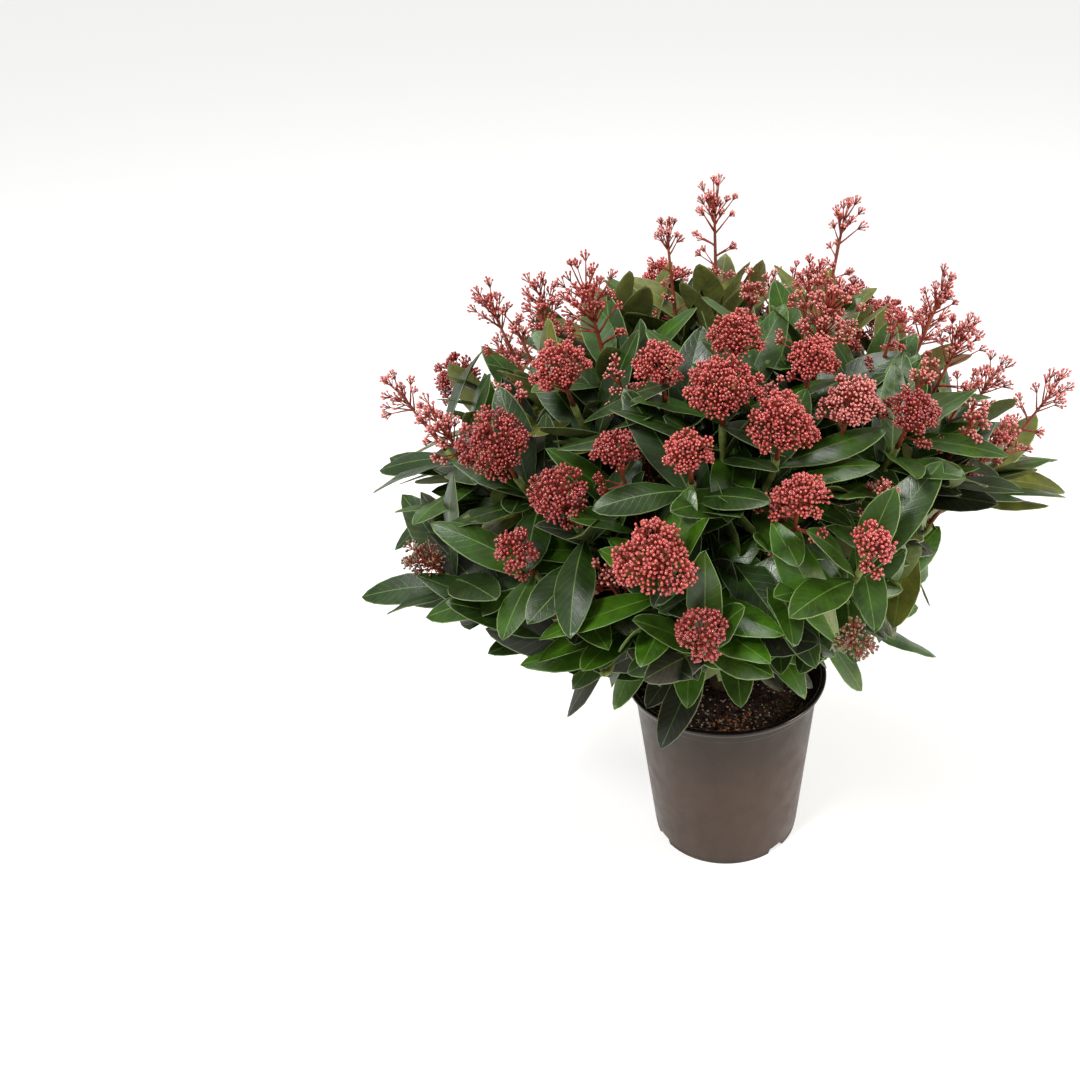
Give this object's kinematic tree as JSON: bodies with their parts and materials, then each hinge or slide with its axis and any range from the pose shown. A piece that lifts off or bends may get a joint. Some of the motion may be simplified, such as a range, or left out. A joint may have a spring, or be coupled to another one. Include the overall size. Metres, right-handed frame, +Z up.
{
  "type": "potted skimmia shrub",
  "caption": "Bushy evergreen skimmia with leathery oval leaves and domed heads of red flower buds, growing in a round plastic nursery pot.",
  "frame": {"origin": "centre of the pot's flat underside, on the surface that the pot stands on", "axes": "+Z up along the pot's axis, -Y towards the viewer in front, +X to the viewer's right"},
  "size_m": [0.5539, 0.5422, 0.5637],
  "materials": {
    "pot": "satin",
    "soil": "matte",
    "bark": "matte",
    "foliage": "gloss"
  },
  "bodies": {
    "root": {"pot": "pot", "soil": "soil", "stem": "bark", "bough_top": "bark", "mass_top": "foliage", "bough_top_right": "bark", "mass_top_right": "foliage", "bough_top_left": "bark", "mass_top_left": "foliage", "bough_top_front": "bark", "mass_top_front": "foliage", "bough_high_right": "bark", "mass_high_right": "foliage", "bough_front": "bark", "mass_front": "foliage", "bough_high_left": "bark", "mass_high_left": "foliage", "bough_front_right": "bark", "mass_front_right": "foliage", "bough_front_left": "bark", "mass_front_left": "foliage", "bough_left": "bark", "mass_left": "foliage", "bough_back": "bark", "mass_back": "foliage", "bough_far_right": "bark", "mass_far_right": "foliage", "bough_low_front": "bark", "mass_low_front": "foliage", "bough_far_left": "bark", "mass_far_left": "foliage", "bough_back_right": "bark", "mass_back_right": "foliage", "bough_low_right": "bark", "mass_low_right": "foliage", "bough_low_left": "bark", "mass_low_left": "foliage", "bough_back_left": "bark", "mass_back_left": "foliage"}
  },
  "joints": []
}
